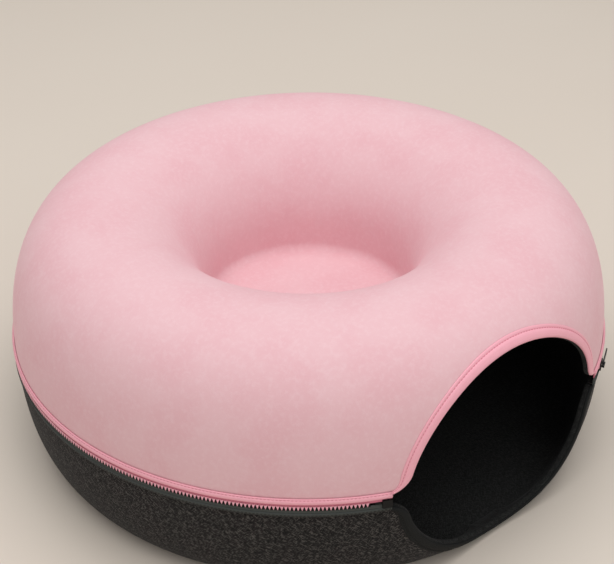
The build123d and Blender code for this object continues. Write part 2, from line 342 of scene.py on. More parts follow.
@dataclass(frozen=True)
class Entrance:
    """Oval entrance shared by both mouldings, with a rounded felt corner at each end of the zip."""

    corner_points: int = 16
    oval_points: int = 88
    trial_points: int = 4000

    def outline(self, half: Half, grow: float) -> tuple[np.ndarray, np.ndarray]:
        """Right half of the entrance's edge, from its corner at the rim to its middle.

        The oval is x = a cos t, h = b sin t. The corner is an arc of radius c that stands on the rim's line
        and touches the oval, so its centre is at x = max(a cos t + sqrt(c^2 - (b sin t - hc)^2)).

        Args:
            half: which moulding's edge.
            grow: how far outside the cut edge the line runs.

        Returns:
            Distance from the middle plane and height away from the zip, each of one value per point.
        """
        s = SIZES
        a = s.corner_x - s.zip_end_margin + grow
        b = grow + (s.height - s.felt_over_arch - s.zip_height if half is Half.COVER else
                    s.zip_height - s.sill_height)
        corner = s.entrance_corner - grow
        centre_height = s.rim_offset + grow + corner
        t = np.linspace(0, math.pi / 2, self.trial_points)
        x, h = a * np.cos(t), b * np.sin(t)
        near = np.abs(h - centre_height) < corner
        reach = x[near] + np.sqrt(corner**2 - (h[near] - centre_height) ** 2)
        touch = int(np.argmax(reach))
        centre_x = reach[touch]
        touch_height = h[near][touch]
        u = np.linspace(-math.pi / 2, math.asin((touch_height - centre_height) / corner), self.corner_points)
        v = np.linspace(math.asin(touch_height / b), math.pi / 2, self.oval_points)[1:]
        across = np.concatenate([centre_x - corner * np.cos(u), a * np.cos(v)])
        away = np.concatenate([centre_height + corner * np.sin(u), b * np.sin(v)])
        across[-1] = 0.0
        return across, away

    def on_wall(self, half: Half, grow: float,
                depth: float = 0.0) -> tuple[np.ndarray, np.ndarray, np.ndarray]:
        """Right half of a line round the entrance that lies `depth` inside a moulding's face.

        Args:
            half: which moulding.
            grow: how far outside the cut edge the line runs.
            depth: how far inside the outer face.

        Returns:
            Angle from the middle of the entrance, the share of the wall's length at which it lies, and its
            radius and height as an array of shape (n, 2).
        """
        across, away = self.outline(half, grow)
        wall = Section(half, depth).wall()
        share = along(wall) / along(wall)[-1]
        height = SIZES.zip_height + half.value * away
        order = np.argsort(wall[:, 1])
        at = np.interp(height, wall[order, 1], share[order])
        radius = np.interp(at, share, wall[:, 0])
        return np.arcsin(across / radius), at, np.stack([radius, height], axis=1)

    def edge(self, half: Half, grow: float, depth: float) -> np.ndarray:
        """The whole line round the entrance, from the left corner over the middle to the right one.

        It is the outer face's line, moved inwards along the face's normal.

        Args:
            half: which moulding.
            grow: how far outside the cut edge the line runs.
            depth: how far inside the outer face, negative above it.

        Returns:
            Array of shape (n, 3).
        """
        turn, at, place = self.on_wall(half, grow)
        wall = Section(half, 0.0).wall()
        slope = np.gradient(wall, axis=0)
        share = along(wall) / along(wall)[-1]
        slope_r, slope_z = np.interp(at, share, slope[:, 0]), np.interp(at, share, slope[:, 1])
        inward = np.stack([slope_z, -slope_r], axis=1) * half.value
        place = place + depth * inward / np.hypot(slope_r, slope_z)[:, None]
        right = ring_point(turn, place[:, 0], place[:, 1])
        left = right * np.array([-1.0, 1.0, 1.0])
        return np.concatenate([left, right[::-1][1:]])


ENTRANCE = Entrance()


# Meshes --------------------------------------------------------------------


def make_piece(name: str, vertices: np.ndarray, faces: list | np.ndarray, body: Body,
               uv: np.ndarray | None = None) -> bpy.types.Object:
    """New smooth mesh object that rides on a body.

    Args:
        name: name of the piece.
        vertices: array of shape (n, 3).
        faces: lists or rows of vertex numbers.
        body: body that the piece moves with.
        uv: one (u, v) for each corner of each face, in order, in metres.

    Returns:
        The object, at the origin.
    """
    mesh = bpy.data.meshes.new(name)
    mesh.from_pydata(np.asarray(vertices, float).tolist(), [], [list(face) for face in faces])
    mesh.polygons.foreach_set("use_smooth", np.ones(len(mesh.polygons), dtype=bool))
    if uv is not None:
        layer = mesh.uv_layers.new(name="lay")
        layer.data.foreach_set("uv", np.asarray(uv, np.float32).ravel())
    mesh.update()
    piece = bpy.data.objects.new(name, mesh)
    bpy.context.scene.collection.objects.link(piece)
    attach(piece, body.value)
    return piece


def grid_faces(rows: int, columns: int, wrap_rows: bool, wrap_columns: bool, flip: bool) -> np.ndarray:
    """Quads (i, j), (i+1, j), (i+1, j+1), (i, j+1) of a grid numbered row by row.

    Args:
        rows: points down the grid.
        columns: points across it.
        wrap_rows: whether the last row joins the first.
        wrap_columns: whether the last column joins the first.
        flip: whether to turn the faces over.

    Returns:
        Array of shape (number of quads, 4).
    """
    i = np.arange(rows if wrap_rows else rows - 1)[:, None]
    j = np.arange(columns if wrap_columns else columns - 1)[None, :]
    below, beside = (i + 1) % rows, (j + 1) % columns
    corners = [i * columns + j, below * columns + j, below * columns + beside, i * columns + beside]
    quads = np.stack([np.broadcast_to(c, (i.size, j.size)) for c in corners], axis=-1).reshape(-1, 4)
    return quads[:, ::-1] if flip else quads


def grid_uv(u: np.ndarray, v: np.ndarray, flip: bool) -> np.ndarray:
    """Face-corner (u, v) of a grid of quads.

    Args:
        u, v: values at the grid's points, one column or row more than the mesh has where it wraps.
        flip: whether the faces are turned over.

    Returns:
        Array of shape (number of quads, 4, 2).
    """
    both = np.stack([u, v], axis=-1)
    corners = np.stack([both[:-1, :-1], both[1:, :-1], both[1:, 1:], both[:-1, 1:]], axis=2).reshape(-1, 4, 2)
    return corners[:, ::-1] if flip else corners


def carry(name: str, loop: np.ndarray, body: Body) -> bpy.types.Object:
    """Closed band whose section's points are each carried along the band.

    Point (i, j) of the grid is the i-th point of the section at the j-th place along, and the two ends are
    closed by one face each. The faces are turned so that they point out of the band's middle.

    Args:
        name: name of the piece.
        loop: array of shape (section points, places, 3).
        body: body that it rides on.

    Returns:
        The new piece.
    """
    rows, columns = loop.shape[:2]
    middle = loop.mean(axis=0)
    ahead = middle[1] - middle[0]
    spokes = loop[:, 0] - middle[0]
    turning = np.cross(spokes, np.roll(spokes, -1, axis=0)) @ ahead
    flip = bool(turning.sum() > 0)
    quads = grid_faces(rows, columns, True, False, flip)
    lengths = along(middle)
    girth = along(np.concatenate([loop[:, 0], loop[:1, 0]]))
    u = np.broadcast_to(lengths[None, :], (rows + 1, columns))
    v = np.broadcast_to(girth[:, None], (rows + 1, columns))
    start = np.arange(rows) * columns
    end = start + columns - 1
    caps = [start[::-1], end] if not flip else [start, end[::-1]]
    cap_uv = np.zeros((2 * rows, 2))
    uv = np.concatenate([grid_uv(u, v, flip).reshape(-1, 2), cap_uv])
    faces = quads.tolist() + [cap.tolist() for cap in caps]
    return make_piece(name, loop.reshape(-1, 3), faces, body, uv)


def repeat(name: str, template: np.ndarray, faces: np.ndarray | list, places: np.ndarray, frames: np.ndarray,
           body: Body) -> bpy.types.Object:
    """One mesh of many copies of a small shape: each point is place + frame times template point.

    Args:
        name: name of the piece.
        template: array of shape (points, 3) in (along, across, out).
        faces: the template's faces.
        places: array of shape (copies, 3).
        frames: array of shape (copies, 3, 3) whose rows are the three directions.
        body: body that it rides on.

    Returns:
        The new piece.
    """
    vertices = places[:, None, :] + np.einsum("pk,nkc->npc", template, frames)
    size = len(template)
    every = [[corner + size * copy for corner in face] for copy in range(len(places)) for face in faces]
    return make_piece(name, vertices.reshape(-1, 3), every, body)


# Finishes ------------------------------------------------------------------


def colour(red: float, green: float, blue: float) -> tuple[float, float, float, float]:
    """Linear colour of an 8-bit display colour: ((c + 0.055) / 1.055)^2.4 above 0.04045, c / 12.92 below."""
    c = np.array([red, green, blue]) / 255
    linear = np.where(c > 0.04045, ((c + 0.055) / 1.055) ** 2.4, c / 12.92)
    return (*linear.tolist(), 1.0)


class Graph:
    """Node graph of one material, with a Principled surface at its end."""

    def __init__(self, name: str) -> None:
        """Makes the material and its two end nodes."""
        self.material = bpy.data.materials.new(name)
        self.material.use_nodes = True
        self.tree = self.material.node_tree
        self.tree.nodes.clear()
        self.surface = self.tree.nodes.new("ShaderNodeBsdfPrincipled")
        out = self.tree.nodes.new("ShaderNodeOutputMaterial")
        self.tree.links.new(self.surface.outputs[0], out.inputs["Surface"])
        self.place = self.tree.nodes.new("ShaderNodeTexCoord")

    def set(self, **values: float | tuple) -> None:
        """Sets the surface's own sockets; an underscore in a name stands for a space."""
        for name, value in values.items():
            self.surface.inputs[name.replace("_", " ").title()].default_value = value

    def scaled(self, output: str, scale: tuple, turn: float = 0.0) -> bpy.types.NodeSocket:
        """Coordinates multiplied by a scale, after a turn about Z."""
        mapping = self.tree.nodes.new("ShaderNodeMapping")
        mapping.vector_type = "POINT"
        mapping.inputs["Scale"].default_value = scale
        turned = self.place.outputs[output]
        if turn:
            first = self.tree.nodes.new("ShaderNodeMapping")
            first.inputs["Rotation"].default_value = (0, 0, turn)
            self.tree.links.new(turned, first.inputs["Vector"])
            turned = first.outputs["Vector"]
        self.tree.links.new(turned, mapping.inputs["Vector"])
        return mapping.outputs["Vector"]

    def noise(self, vector: bpy.types.NodeSocket, scale: float, detail: float = 2.0,
              rough: float = 0.5) -> bpy.types.NodeSocket:
        """Noise of a scale at a vector; its value is about 0.5 on average."""
        node = self.tree.nodes.new("ShaderNodeTexNoise")
        node.inputs["Scale"].default_value = scale
        node.inputs["Detail"].default_value = detail
        node.inputs["Roughness"].default_value = rough
        self.tree.links.new(vector, node.inputs["Vector"])
        return node.outputs["Fac"]

    def ribs(self, vector: bpy.types.NodeSocket, direction: str, scale: float) -> bpy.types.NodeSocket:
        """Even sine ribs across one direction."""
        node = self.tree.nodes.new("ShaderNodeTexWave")
        node.wave_type = "BANDS"
        node.bands_direction = direction
        node.wave_profile = "SIN"
        node.inputs["Scale"].default_value = scale
        self.tree.links.new(vector, node.inputs["Vector"])
        return node.outputs["Fac"]

    def span(self, value: bpy.types.NodeSocket, low: float, high: float) -> bpy.types.NodeSocket:
        """Smooth step from 0 at low to 1 at high."""
        node = self.tree.nodes.new("ShaderNodeMapRange")
        node.interpolation_type = "SMOOTHSTEP"
        node.inputs["From Min"].default_value = low
        node.inputs["From Max"].default_value = high
        self.tree.links.new(value, node.inputs["Value"])
        return node.outputs["Result"]

    def math(self, kind: str, first: bpy.types.NodeSocket, second: bpy.types.NodeSocket | float,
             ) -> bpy.types.NodeSocket:
        """One arithmetic step on a value."""
        node = self.tree.nodes.new("ShaderNodeMath")
        node.operation = kind
        self.tree.links.new(first, node.inputs[0])
        if isinstance(second, (int, float)):
            node.inputs[1].default_value = second
        else:
            self.tree.links.new(second, node.inputs[1])
        return node.outputs[0]

    def mix(self, share: bpy.types.NodeSocket, first: tuple | bpy.types.NodeSocket,
            second: tuple | bpy.types.NodeSocket) -> bpy.types.NodeSocket:
        """Colour between two, by a share from 0 to 1."""
        node = self.tree.nodes.new("ShaderNodeMix")
        node.data_type = "RGBA"
        self.tree.links.new(share, node.inputs[0])
        for socket, given in ((node.inputs[6], first), (node.inputs[7], second)):
            if isinstance(given, tuple):
                socket.default_value = given
            else:
                self.tree.links.new(given, socket)
        return node.outputs[2]

    def paint(self, given: bpy.types.NodeSocket) -> None:
        """Sends a colour to the surface."""
        self.tree.links.new(given, self.surface.inputs["Base Color"])

    def relief(self, height: bpy.types.NodeSocket, distance: float, strength: float) -> None:
        """Bumps the surface by a height from 0 to 1."""
        bump = self.tree.nodes.new("ShaderNodeBump")
        bump.inputs["Distance"].default_value = distance
        bump.inputs["Strength"].default_value = strength
        self.tree.links.new(height, bump.inputs["Height"])
        self.tree.links.new(bump.outputs["Normal"], self.surface.inputs["Normal"])


@dataclass(frozen=True)
class BrushedFelt:
    """Smooth, matt felt with a soft mottle and a fine nap."""

    slot: str
    main: tuple
    cloudy: tuple
    pale: tuple
    cloud: float = 45.0 * MM
    cloud_step: tuple = (0.35, 0.7)
    nap: float = 1.1 * MM
    speck_step: tuple = (0.42, 0.72)
    speck_share: float = 0.35
    sheen: float = 0.35
    lift: float = 0.2 * MM

    def material(self) -> bpy.types.Material:
        """Main colour clouded by slow noise, with a nap of fine pale fibres that also lifts the surface."""
        g = Graph(self.slot)
        g.set(roughness=0.92, sheen_weight=self.sheen, sheen_roughness=0.45, sheen_tint=self.pale)
        g.surface.inputs["Specular IOR Level"].default_value = 0.2
        here = g.place.outputs["Object"]
        cloud = g.span(g.noise(here, 1 / self.cloud, 3.0), *self.cloud_step)
        speck = g.span(g.noise(here, 1 / (4 * self.nap), 3.0, 0.7), *self.speck_step)
        fibre = g.noise(here, 1 / self.nap, 4.0, 0.75)
        base = g.mix(cloud, self.main, self.cloudy)
        flecked = g.mix(g.math("MULTIPLY", speck, self.speck_share), base, self.pale)
        g.paint(flecked)
        g.relief(g.math("ADD", fibre, g.math("MULTIPLY", speck, 0.3)), self.lift, 0.35)
        return g.material


@dataclass(frozen=True)
class HeatherFelt:
    """Dark felt pressed from mixed fibres, so that short pale and black dashes show all over it."""

    slot: str
    main: tuple
    dark: tuple
    pale: tuple
    warm: tuple
    dash_length: float = 6.0 * MM
    dash_width: float = 1.15 * MM
    dash_turns: tuple = (0.7, -0.9, 2.2)
    pale_step: tuple = (0.55, 0.64)
    dark_step: tuple = (0.46, 0.56)
    tint: float = 30.0 * MM
    lift: float = 0.5 * MM

    def material(self) -> bpy.types.Material:
        """Two crossed sets of stretched noise give pale dashes, a third dark ones, and slow noise a tint."""
        g = Graph(self.slot)
        g.set(roughness=0.95, sheen_weight=0.05, sheen_roughness=0.5)
        g.surface.inputs["Specular IOR Level"].default_value = 0.2
        stretch = (1 / self.dash_length, 1 / self.dash_width, 1.0)
        laid = [g.scaled("UV", stretch, turn) for turn in self.dash_turns]
        one, two, three = (g.noise(lay, scale, 2.0, 0.6) for lay, scale in zip(laid, (1.0, 1.3, 1.1)))
        tint = g.span(g.noise(g.place.outputs["Object"], 1 / self.tint, 2.0), 0.4, 0.65)
        low, high = self.pale_step
        pale = g.math("MAXIMUM", g.span(one, low, high), g.span(two, low + 0.01, high + 0.01))
        base = g.mix(tint, self.main, self.warm)
        darker = g.mix(g.span(three, *self.dark_step), base, self.dark)
        g.paint(g.mix(pale, darker, self.pale))
        g.relief(g.math("ADD", pale, three), self.lift, 0.6)
        return g.material


@dataclass(frozen=True)
class WovenTape:
    """Woven or satin tape with fine ribs across it."""

    slot: str
    main: tuple
    shade: tuple
    rib: float = 0.9 * MM
    warp_share: float = 0.7
    patch: float = 6.0 * MM
    rough: float = 0.55
    sheen: float = 0.3
    shine: float = 0.5
    relief: float = 0.5
    # Past a set distance across the tape, its colour is painted near black. This is painted shade for the gap
    # under a hem.
    painted_shade_from: float = 1.0
    painted_shade_blend: float = 0.5 * MM
    painted_shade: tuple = (0.0, 0.0, 0.0, 1.0)

    def material(self) -> bpy.types.Material:
        """Ribs across the tape, crossed by finer warp lines, colour the shade between the threads.

        Beyond a set distance across the tape, the colour steps to a dark painted shade that stands in for the
        shadow gap below the hem.
        """
        g = Graph(self.slot)
        g.set(roughness=self.rough, sheen_weight=self.sheen, sheen_roughness=0.35, sheen_tint=self.main)
        g.surface.inputs["Specular IOR Level"].default_value = self.shine
        lay = g.place.outputs["UV"]
        across = g.ribs(lay, "X", WAVE_PERIOD / self.rib)
        warp = g.ribs(lay, "Y", WAVE_PERIOD / (self.warp_share * self.rib))
        uneven = g.noise(lay, 1 / self.patch, 2.0)
        weave = g.math("MULTIPLY", across, g.math("ADD", g.math("MULTIPLY", warp, 0.4), 0.6))
        amount = g.math("ADD", g.math("MULTIPLY", weave, 0.75), g.math("MULTIPLY", uneven, 0.4))
        woven = g.mix(amount, self.shade, self.main)
        across_tape = g.tree.nodes.new("ShaderNodeSeparateXYZ")
        g.tree.links.new(lay, across_tape.inputs[0])
        # Painted shade: the share of the tape past that distance, where the flat dark colour takes over.
        painted_shade_share = g.span(across_tape.outputs["Y"], self.painted_shade_from, self.painted_shade_from + self.painted_shade_blend)
        g.paint(g.mix(painted_shade_share, woven, self.painted_shade))
        g.relief(weave, 0.25 * MM, self.relief)
        return g.material


@dataclass(frozen=True)
class MouldedPlastic:
    """Moulded plastic with a faint grain and slightly paler wear."""

    slot: str
    main: tuple
    worn: tuple
    rough: float = 0.38
    shine: float = 0.5
    wear: float = 2.5 * MM
    grain: float = 0.4 * MM

    def material(self) -> bpy.types.Material:
        """Main colour flecked by wear noise, over a fine grain."""
        g = Graph(self.slot)
        g.set(roughness=self.rough)
        g.surface.inputs["Specular IOR Level"].default_value = self.shine
        here = g.place.outputs["Object"]
        wear = g.span(g.noise(here, 1 / self.wear, 4.0, 0.6), 0.5, 0.8)
        grain = g.noise(here, 1 / self.grain, 2.0)
        g.paint(g.mix(wear, self.main, self.worn))
        g.relief(grain, 0.05 * MM, 0.35)
        return g.material


@dataclass(frozen=True)
class Enamel:
    """Baked enamel on cast metal, with the metal just showing through where it rubs."""

    slot: str
    main: tuple
    bare: tuple
    rub: float = 1.2 * MM
    dimple: float = 0.8 * MM

    def material(self) -> bpy.types.Material:
        """Enamel colour with small rubbed flecks, under a glossy coat."""
        g = Graph(self.slot)
        g.set(roughness=0.35, coat_weight=0.25, coat_roughness=0.08)
        g.surface.inputs["Specular IOR Level"].default_value = 0.3
        here = g.place.outputs["Object"]
        rubbed = g.span(g.noise(here, 1 / self.rub, 4.0, 0.7), 0.62, 0.8)
        g.paint(g.mix(rubbed, self.main, self.bare))
        g.relief(g.noise(here, 1 / self.dimple, 2.0), 0.04 * MM, 0.3)
        return g.material


@dataclass
class Finishes:
    """Every finish on the bed, made once each when first asked for."""

    made: dict = field(default_factory=dict)
    known: tuple = (
        BrushedFelt("pink_felt", colour(231, 189, 195), colour(229, 182, 189), colour(238, 205, 210)),
        HeatherFelt("charcoal_felt", colour(33, 31, 31), colour(7, 7, 7), colour(88, 85, 82),
                    colour(36, 31, 32)),
        HeatherFelt("black_lining", colour(31, 31, 31), colour(20, 20, 20), colour(46, 47, 46),
                    colour(30, 32, 31)),
        WovenTape("pink_binding", colour(252, 186, 199), colour(244, 168, 184), rough=0.42),
        WovenTape("charcoal_binding", colour(31, 33, 33), colour(20, 21, 21), rough=0.7, sheen=0.03,
                  shine=0.15),
        WovenTape("pink_tape", colour(224, 136, 156), colour(204, 112, 134)),
        # The charcoal tape is painted near black past 6 mm across it. This is painted shade for the gap under
        # the tray's hem.
        WovenTape("charcoal_tape", colour(80, 84, 81), colour(60, 64, 62), sheen=0.1, shine=0.3,
                  painted_shade_from=6.0 * MM, painted_shade=colour(16, 16, 16)),
        WovenTape("pink_thread", colour(234, 150, 167), colour(218, 128, 147), rib=0.5 * MM),
        WovenTape("charcoal_thread", colour(40, 41, 41), colour(26, 26, 26), rib=0.5 * MM, sheen=0.03,
                  shine=0.15),
        MouldedPlastic("pink_plastic", colour(244, 176, 191), colour(246, 190, 202)),
        MouldedPlastic("black_plastic", colour(9, 9, 10), colour(20, 20, 21), rough=0.5, shine=0.2),
        Enamel("black_enamel", colour(7, 7, 8), colour(60, 62, 63)),
    )

    def dress(self, piece: bpy.types.Object, name: str) -> None:
        """Gives a piece one finish and logs the piece's and the finish's names.

        Args:
            piece: the object to dress.
            name: name of the finish.
        """
        if name not in self.made:
            finish = next(known for known in self.known if known.slot == name)
            self.made[name] = finish.material()
        piece.data.materials.clear()
        piece.data.materials.append(self.made[name])
        log.info("%s: %s", piece.name, name)


FINISHES = Finishes()


# Mouldings -----------------------------------------------------------------


@dataclass
class Moulding:
    """One moulded half of the bed: a felt shell and the lining bonded to its inside."""

    half: Half
    body: Body
    felt_finish: str
    blank: float
    wall_rows: int = 30
    round_columns: int = 150
    swell: float = 0.7 * MM

    def columns(self, depth: float) -> tuple[np.ndarray, np.ndarray]:
        """Angles of the grid's columns, and the share of the wall that each reaches down or up to.

        The columns in front meet the entrance's edge at its own points, and the rest are even.

        Args:
            depth: how far inside the outer face the layer starts.

        Returns:
            Angles from the middle of the entrance all the way round, and shares from 0 to 1.
        """
        turn, share, _ = ENTRANCE.on_wall(self.half, 0.0, depth)
        round_turn = np.linspace(turn[0], math.pi, self.round_columns + 1)[1:]
        half_turn = np.concatenate([turn[::-1], round_turn])
        half_share = np.concatenate([share[::-1], np.ones(self.round_columns)])
        back_turn = 2 * math.pi - half_turn[1:-1][::-1]
        return np.concatenate([half_turn, back_turn]), np.concatenate([half_share, half_share[1:-1][::-1]])

    def surface(self, depth: float) -> tuple[np.ndarray, np.ndarray]:
        """Grid of points from the axis outwards on one face of the moulding.

        Row i of the fixed part is the same (radius, height) at every angle. Row k of the wall lies at the
        k-th even share of the wall's length as far as the entrance or the rim. Each point is then moved along
        the face's normal by swell sin(pi q)^2 (sin(2a + 5q) + sin(3a - 4q + 1) / 2), with a its angle and q
        its share of the whole section. The tray's points stay above its flat base.

        Args:
            depth: how far inside the outer face.

        Returns:
            Points of shape (rows, columns, 3), and the length from the axis at each of them.
        """
        section = Section(self.half, depth)
        fixed, wall = section.fixed(), section.wall()
        turn, share = self.columns(depth)
        length = along(wall)
        steps = np.linspace(0, 1, self.wall_rows + 1)[1:, None] * share[None, :]
        radius = np.interp(steps * length[-1], length, wall[:, 0])
        height = np.interp(steps * length[-1], length, wall[:, 1])
        radius = np.concatenate([np.repeat(fixed[:, :1], turn.size, axis=1), radius])
        height = np.concatenate([np.repeat(fixed[:, 1:], turn.size, axis=1), height])
        far = np.concatenate([np.repeat(along(fixed)[:, None], turn.size, axis=1),
                              along(fixed)[-1] + steps * length[-1]])
        slope_r, slope_z = np.gradient(radius, axis=0), np.gradient(height, axis=0)
        size = np.hypot(slope_r, slope_z)
        out_r, out_z = -self.half.value * slope_z / size, self.half.value * slope_r / size
        q = far / (along(fixed)[-1] + length[-1])
        wave = np.sin(2 * turn + 5 * q) + np.sin(3 * turn - 4 * q + 1) / 2
        lift = self.swell * np.sin(math.pi * q) ** 2 * wave
        height = height + lift * out_z
        if self.half is Half.TRAY:
            height = np.maximum(height, depth)
        return ring_point(turn, radius + lift * out_r, height), far

    def make_layer(self, name: str, depth: float, thickness: float) -> bpy.types.Object:
        """One layer of the moulding, closed at the axis by a fan and given its thickness inwards.

        Args:
            name: name of the piece, which is also the node that it stands for.
            depth: how far inside the outer face the layer starts.
            thickness: the layer's own thickness.

        Returns:
            The new piece.
        """
        points, far = self.surface(depth)
        points, far = points[1:], far[1:]
        rows, columns = points.shape[:2]
        flip = self.half is Half.TRAY
        turn = self.columns(depth)[0]
        around = np.concatenate([turn, [2 * math.pi]]) * SIZES.outer_radius
        u = np.broadcast_to(around, (rows, columns + 1))
        v = np.concatenate([far, far[:, :1]], axis=1)
        quads = grid_faces(rows, columns, False, True, flip)
        middle = rows * columns
        first = np.arange(columns)
        fan = np.stack([np.full(columns, middle), first, (first + 1) % columns], axis=1)
        fan_uv = np.stack([
            np.stack([(around[:-1] + around[1:]) / 2, np.zeros(columns)], axis=1),
            np.stack([around[:-1], far[0]], axis=1),
            np.stack([around[1:], far[0]], axis=1),
        ], axis=1)
        if flip:
            fan, fan_uv = fan[:, ::-1], fan_uv[:, ::-1]
        axis_point = np.array([[0.0, 0.0, points[0, :, 2].mean()]])
        vertices = np.concatenate([points.reshape(-1, 3), axis_point])
        uv = np.concatenate([grid_uv(u, v, flip).reshape(-1, 2), fan_uv.reshape(-1, 2)])
        piece = make_piece(name, vertices, quads.tolist() + fan.tolist(), self.body, uv)
        wall = piece.modifiers.new("thickness", "SOLIDIFY")
        wall.thickness = thickness
        wall.offset = -1.0
        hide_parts(name)
        return piece

    def build(self) -> None:
        prefix = self.body.value
        shell = self.make_layer(f"{prefix}_shell", 0.0, SIZES.felt)
        lining = self.make_layer(f"{prefix}_lining", SIZES.felt + SIZES.bond, SIZES.lining)
        shell.name, lining.name = f"{prefix}_felt", f"{prefix}_inner_lining"
        FINISHES.dress(shell, self.felt_finish)
        FINISHES.dress(lining, "black_lining")


# Bindings and stitching ----------------------------------------------------


def stitches(name: str, line: np.ndarray, out: np.ndarray, finish: str, body: Body,
             pitch: float = 3.4 * MM, length: float = 2.7 * MM, thick: float = 0.42 * MM) -> bpy.types.Object:
    """Row of sewn stitches, each a round thread whose ends dive into the cloth.

    The thread's radius at t from -1 to 1 along it is r sqrt(1 - t^4), and its middle line drops by r t^4.

    Args:
        name: name of the piece.
        line: points of the seam, shape (n, 3).
        out: direction out of the cloth at each point of the seam, shape (n, 3).
        finish: name of the thread's finish.
        body: body that it rides on.
        pitch: distance between stitches.
        length: length of one stitch.
        thick: radius of the thread.

    Returns:
        The new piece.
    """
    rings, sides = 5, 6
    reach = 0.96
    t = np.linspace(-reach, reach, rings)[:, None]
    a = np.linspace(0, 2 * math.pi, sides, endpoint=False)[None, :]
    r = thick * np.sqrt(1 - t**4)
    x = np.broadcast_to(t * length / 2, (rings, sides))
    template = np.stack([x, r * np.cos(a), r * np.sin(a) - thick * t**4], axis=-1).reshape(-1, 3)
    tube = grid_faces(rings, sides, False, True, True).tolist()
    caps = [list(range(sides)), list(range(rings * sides - 1, (rings - 1) * sides - 1, -1))]
    places, direction = evenly(line, pitch)
    lengths = along(line)
    at = along(places) + pitch / 2
    normal = np.stack([np.interp(at, lengths, out[:, axis]) for axis in range(3)], axis=1)
    across = np.cross(normal, direction)
    across /= np.linalg.norm(across, axis=1)[:, None]
    normal = np.cross(direction, across)
    frames = np.stack([direction, across, normal], axis=1)
    piece = repeat(name, template, tube + caps, places, frames, body)
    FINISHES.dress(piece, finish)
    return piece


@dataclass
class EntranceBinding:
    """Tape folded over one moulding's cut edge at the entrance, with a pressed line along its outer leg."""

    half: Half
    body: Body
    node: str
    finish: str
    thread: str
    outer_leg: float = 9.0 * MM
    inner_leg: float = 8.6 * MM
    pressed_line: float = 6.4 * MM
    thick: float = 1.1 * MM
    piping: float = 0.3 * MM
    gap: float = 0.12 * MM
    meeting: float = 1.5 * MM
    tuck: float = 0.5 * MM
    taper: float = 26.0 * MM
    end_share: float = 0.3
    off_floor: float = 0.5 * MM

    def outer_fold(self) -> list[tuple[float, float]]:
        """Closed section of the coloured half of the fold, from its outer leg's end round to the cut edge.

        Returns:
            Pairs of (distance outside the cut edge, depth inside the face).
        """
        gap, turn, line = self.gap, self.thick, self.pressed_line
        top = -(turn + self.piping)
        outside = [
            (self.outer_leg, -gap), (self.outer_leg - 0.15 * MM, -0.5 * turn),
            (self.outer_leg - 0.6 * MM, -0.75 * turn), (line + 0.9 * MM, -0.8 * turn),
            (line + 0.35 * MM, -0.6 * turn), (line, -0.3 * turn), (line - 0.35 * MM, -0.65 * turn),
            (line - 1.0 * MM, -turn), (line * 0.65, top), (line * 0.4, top), (line * 0.18, -1.05 * turn),
            (0.0, -0.85 * turn), (-0.65 * turn, -0.35 * turn), (-turn, 0.5 * turn), (-turn, self.meeting),
        ]
        return outside + [(-gap, self.meeting), (-gap, -gap), (line * 0.5, -gap)]

    def inner_fold(self) -> list[tuple[float, float]]:
        """Closed section of the black half of the fold, from where the two meet to its inner leg's end."""
        wall, gap, turn = SIZES.wall, self.gap, self.thick
        half_way = self.inner_leg / 2
        outside = [
            (-turn, self.meeting + gap), (-1.05 * turn, wall / 2 + gap), (-turn, wall - 0.5 * turn),
            (-0.65 * turn, wall + 0.35 * turn), (0.2 * MM, wall + 0.85 * turn), (half_way, wall + turn),
            (self.inner_leg - 0.5 * MM, wall + 0.9 * turn), (self.inner_leg, wall + 0.5 * turn),
            (self.inner_leg, wall + gap),
        ]
        return outside + [(half_way, wall + gap), (-gap, wall + gap), (-gap, self.meeting + gap)]

    def narrowed(self, full: list[np.ndarray], cut: list[np.ndarray]) -> np.ndarray:
        """Lines that close up towards the cut edge near the ends of the zip, and stop there.

        With s the length left to the end and w the taper's length, each point is cut + f (full - cut), where
        f rises smoothly from end_share e at s = 0 to 1 at s = w: f = e + (1 - e) (3q^2 - 2q^3), q = s / w.

        Args:
            full: the lines at their full distance from the cut edge.
            cut: the lines that they close up to.

        Returns:
            Array of shape (lines, places, 3).
        """
        base = ENTRANCE.edge(self.half, 0.0, 0.0)
        kept = np.abs(base[:, 0]) <= SIZES.corner_x + self.tuck
        length = along(base[kept])
        q = np.clip(np.minimum(length, length[-1] - length) / self.taper, 0.0, 1.0)
        f = (self.end_share + (1 - self.end_share) * (3 * q**2 - 2 * q**3))[None, :, None]
        near, far = np.stack(cut)[:, kept], np.stack(full)[:, kept]
        return near + f * (far - near)

    def make_fold(self, name: str, fold: list[tuple[float, float]], finish: str) -> bpy.types.Object:
        """Carries one half of the fold round the entrance, as far as the ends of the zip.

        Args:
            name: name of the piece.
            fold: its closed section.
            finish: name of its finish.

        Returns:
            The new piece.
        """
        loop = self.narrowed([ENTRANCE.edge(self.half, grow, depth) for grow, depth in fold],
                             [ENTRANCE.edge(self.half, min(grow, 0.0), depth) for grow, depth in fold])
        loop[..., 2] = np.maximum(loop[..., 2], self.off_floor)
        piece = carry(name, loop, self.body)
        FINISHES.dress(piece, finish)
        return piece

    def build(self) -> None:
        """Makes both halves of the fold and the row of stitches along the pressed line."""
        outer = self.make_fold(f"{self.node}_outer", self.outer_fold(), self.finish)
        self.make_fold(f"{self.node}_inner", self.inner_fold(), "black_lining")
        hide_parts(self.node)
        lift = -0.5 * self.thick
        seam, under = self.narrowed(
            [ENTRANCE.edge(self.half, self.pressed_line, depth) for depth in (lift, 0.0)],
            [ENTRANCE.edge(self.half, 0.0, depth) for depth in (lift, 0.0)])
        out = (seam - under) / np.linalg.norm(seam - under, axis=1)[:, None]
        stitches(f"{self.node}_stitches", seam, out, self.thread, self.body)


